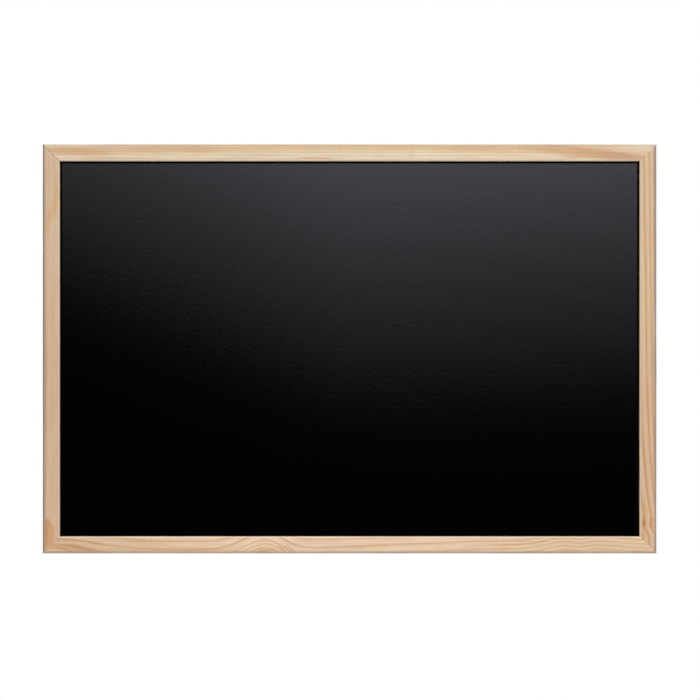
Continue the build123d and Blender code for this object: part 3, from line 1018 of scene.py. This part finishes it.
class StageSettings(bpy.types.PropertyGroup):
    """Camera, floor and light."""

    distance: Length("Camera distance", "Camera to the board's front", 1.5)
    floor_drop: Length("Floor drop", "Floor below the board's lower edge", 0.46)
    floor_radius: Length("Floor radius", "Radius of the round floor", 1.2)
    floor: Colour("Floor", "Colour of the floor", (0.9, 0.9, 0.9))
    floor_roughness: Share("Floor roughness", "Matt paint", 0.9)
    floor_gloss: Share("Floor gloss", "Strength of its reflection", 0.1)
    haze: Number("Haze", "Light at the canopy's lower edge", 0.67)
    glow: Number("Glow", "Light added above the haze", 1.75)
    sky: Number("Canopy", "Light from high in front", 1.38)
    haze_start: Angle("Haze edge", "Height at which the haze starts", -2.33)
    haze_rise: Angle("Haze rise", "Height over which the haze comes up", 5.47)
    glow_rise: Angle("Glow rise", "Height over which the glow comes up", 7.0)
    left_lean: Number("Left lean", "Rise of the light's edge to the left", 0.403)
    right_lean: Number("Right lean", "Rise of the light's edge to the right", 0.055)
    fill: Number("Fill", "Light from the sides", 0.6)
    backdrop: Number("Backdrop", "Light behind the board, from above", 1.25)
    rear_shade: Share("Rear shade", "Share of it that comes from below", 0.35)
    overhead_shade: Share("Overhead shade", "Share of light held back overhead", 0.8)
    lamp_power: Number("Lamp", "Soft lamp above on the right", 12.0, unit="POWER")
    lamp_size: Length("Lamp size", "Side of that lamp", 1.0)
    lamp_aside: Length("Lamp aside", "Lamp to the right of the board's middle", 0.9)
    lamp_ahead: Length("Lamp ahead", "Lamp in front of the board", 1.3)
    lamp_above: Length("Lamp above", "Lamp above the board's middle", 1.5)
    lamp_tilt: Angle("Lamp tilt", "Tilt of the lamp from straight down", 45)
    lamp_turn: Angle("Lamp turn", "Turn of the lamp towards the board", 35)


class ChalkboardSettings(bpy.types.PropertyGroup):
    """Everything that a user would change."""

    moulding: PointerProperty(name="Moulding", type=MouldingSizes)
    fittings: PointerProperty(name="Screws and bumpers", type=FittingSizes)
    pine: PointerProperty(name="Pine", type=PineLooks)
    sheet: PointerProperty(name="Writing sheet", type=SheetLooks)
    back: PointerProperty(name="Back", type=BackLooks)
    stage: PointerProperty(name="Stage", type=StageSettings)


class CHALKBOARD_OT_frame(bpy.types.Operator):
    """Make the four pine mouldings."""

    bl_idname = "chalkboard.frame"
    bl_label = "Pine frame"

    def execute(self, context):
        settings = context.scene.chalkboard
        for name in PLACES:
            pine = new_material(f"pine_{name}", pine_finish, name, settings)
            moulding = add_piece(f"{name}_pine", *moulding_surface(name, settings.moulding), pine)
            stand_in(moulding, name)
        return {"FINISHED"}


class CHALKBOARD_OT_panel(bpy.types.Operator):
    """Finish the writing sheet and the hardboard behind it."""

    bl_idname = "chalkboard.panel"
    bl_label = "Writing panel"

    def execute(self, context):
        settings = context.scene.chalkboard
        dress("writing_sheet", new_material("satin_black", writing_finish, settings))
        dress("core_board", new_material("hardboard", hardboard_finish, settings.back))
        return {"FINISHED"}


class CHALKBOARD_OT_joiners(bpy.types.Operator):
    """Finish the V nails and the framing points."""

    bl_idname = "chalkboard.joiners"
    bl_label = "V nails and points"

    def execute(self, context):
        back = context.scene.chalkboard.back
        looks = (back.steel, back.dull, back.steel_roughness, STEEL_LINE)
        steel = new_material("bright_steel", metal_finish, *looks)
        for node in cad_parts:
            if node.endswith(("_v_nails", "_points")):
                dress(node, steel)
        return {"FINISHED"}


class CHALKBOARD_OT_hangers(bpy.types.Operator):
    """Finish the strap hangers and their rings, and make their screws."""

    bl_idname = "chalkboard.hangers"
    bl_label = "Hangers"

    def execute(self, context):
        settings = context.scene.chalkboard
        back = settings.back
        looks = (back.zinc, back.dull, back.zinc_roughness, ZINC_LINE)
        zinc = new_material("zinc_plate", metal_finish, *looks)
        for side in ("left", "right"):
            dress(f"{side}_hanger_strap", zinc)
            dress(f"{side}_hanger_ring", zinc)
            node = f"{side}_hanger_screw"
            screw = add_piece(f"{node}_pan_head", *screw_surface(node, settings.fittings), zinc)
            stand_in(screw, node)
        return {"FINISHED"}


class CHALKBOARD_OT_bumpers(bpy.types.Operator):
    """Make the wall bumpers."""

    bl_idname = "chalkboard.bumpers"
    bl_label = "Bumpers"

    def execute(self, context):
        settings = context.scene.chalkboard
        rubber = new_material("pad_rubber", rubber_finish, settings.back)
        for node in ("left_bumper", "right_bumper"):
            bumper = add_piece(f"{node}_pad", *bumper_surface(node, settings.fittings), rubber)
            stand_in(bumper, node)
        return {"FINISHED"}


class CHALKBOARD_OT_stage(bpy.types.Operator):
    """Set up the floor, the light and the camera."""

    bl_idname = "chalkboard.stage"
    bl_label = "Stage"

    def execute(self, context):
        scene, stage = context.scene, context.scene.chalkboard.stage
        scene.view_settings.view_transform = "Standard"
        floor_paint = new_material("pale_floor", floor_finish, stage)
        add_piece("floor", *floor_disc(stage), floor_paint)
        scene.world = studio_world(stage)

        lamp = bpy.data.lights.new("soft_lamp", "AREA")
        lamp.energy = stage.lamp_power
        lamp.size = stage.lamp_size
        lamp_object = bpy.data.objects.new("soft_lamp", lamp)
        lamp_object.location = (
            MIDDLE_X + stage.lamp_aside, FRONT - stage.lamp_ahead, MIDDLE_Z + stage.lamp_above
        )
        lamp_object.rotation_euler = (stage.lamp_tilt, 0, stage.lamp_turn)
        scene.collection.objects.link(lamp_object)

        pixel = MM / PHOTO_PIXELS_PER_MM
        aside = (PHOTO_SIDE / 2 - PHOTO_BOARD_MIDDLE[0]) * pixel
        below = (PHOTO_SIDE / 2 - PHOTO_BOARD_MIDDLE[1]) * pixel
        camera = bpy.data.cameras.new("camera")
        camera.lens = camera.sensor_width * stage.distance / (PHOTO_SIDE * pixel)
        camera_object = bpy.data.objects.new("camera", camera)
        camera_object.location = (MIDDLE_X + aside, FRONT - stage.distance, MIDDLE_Z - below)
        camera_object.rotation_euler = (QUARTER_TURN, 0, 0)
        scene.collection.objects.link(camera_object)
        scene.camera = camera_object
        return {"FINISHED"}


class CHALKBOARD_PT_sidebar(bpy.types.Panel):
    """The steps in order, and the settings of each group."""

    bl_idname = "CHALKBOARD_PT_sidebar"
    bl_label = "Wall chalkboard"
    bl_space_type = "VIEW_3D"
    bl_region_type = "UI"
    bl_category = "Chalkboard"

    def draw(self, context):
        for step in STEPS:
            self.layout.operator(step.bl_idname)
        settings = context.scene.chalkboard
        for group in ChalkboardSettings.__annotations__:
            box = self.layout.box()
            box.label(text=settings.bl_rna.properties[group].name)
            values = getattr(settings, group)
            for setting in type(values).__annotations__:
                box.prop(values, setting)


GROUPS = (MouldingSizes, FittingSizes, PineLooks, SheetLooks, BackLooks, StageSettings, ChalkboardSettings)
STEPS = (
    CHALKBOARD_OT_frame,
    CHALKBOARD_OT_panel,
    CHALKBOARD_OT_joiners,
    CHALKBOARD_OT_hangers,
    CHALKBOARD_OT_bumpers,
    CHALKBOARD_OT_stage,
)
CLASSES = (*GROUPS, *STEPS, CHALKBOARD_PT_sidebar)


def register():
    for cls in CLASSES:
        bpy.utils.register_class(cls)
    bpy.types.Scene.chalkboard = PointerProperty(type=ChalkboardSettings)


def unregister():
    del bpy.types.Scene.chalkboard
    for cls in reversed(CLASSES):
        bpy.utils.unregister_class(cls)


def main():
    register()
    bpy.ops.chalkboard.frame()
    bpy.ops.chalkboard.panel()
    bpy.ops.chalkboard.joiners()
    bpy.ops.chalkboard.hangers()
    bpy.ops.chalkboard.bumpers()
    bpy.ops.chalkboard.stage()


if __name__ == "__main__":
    main()
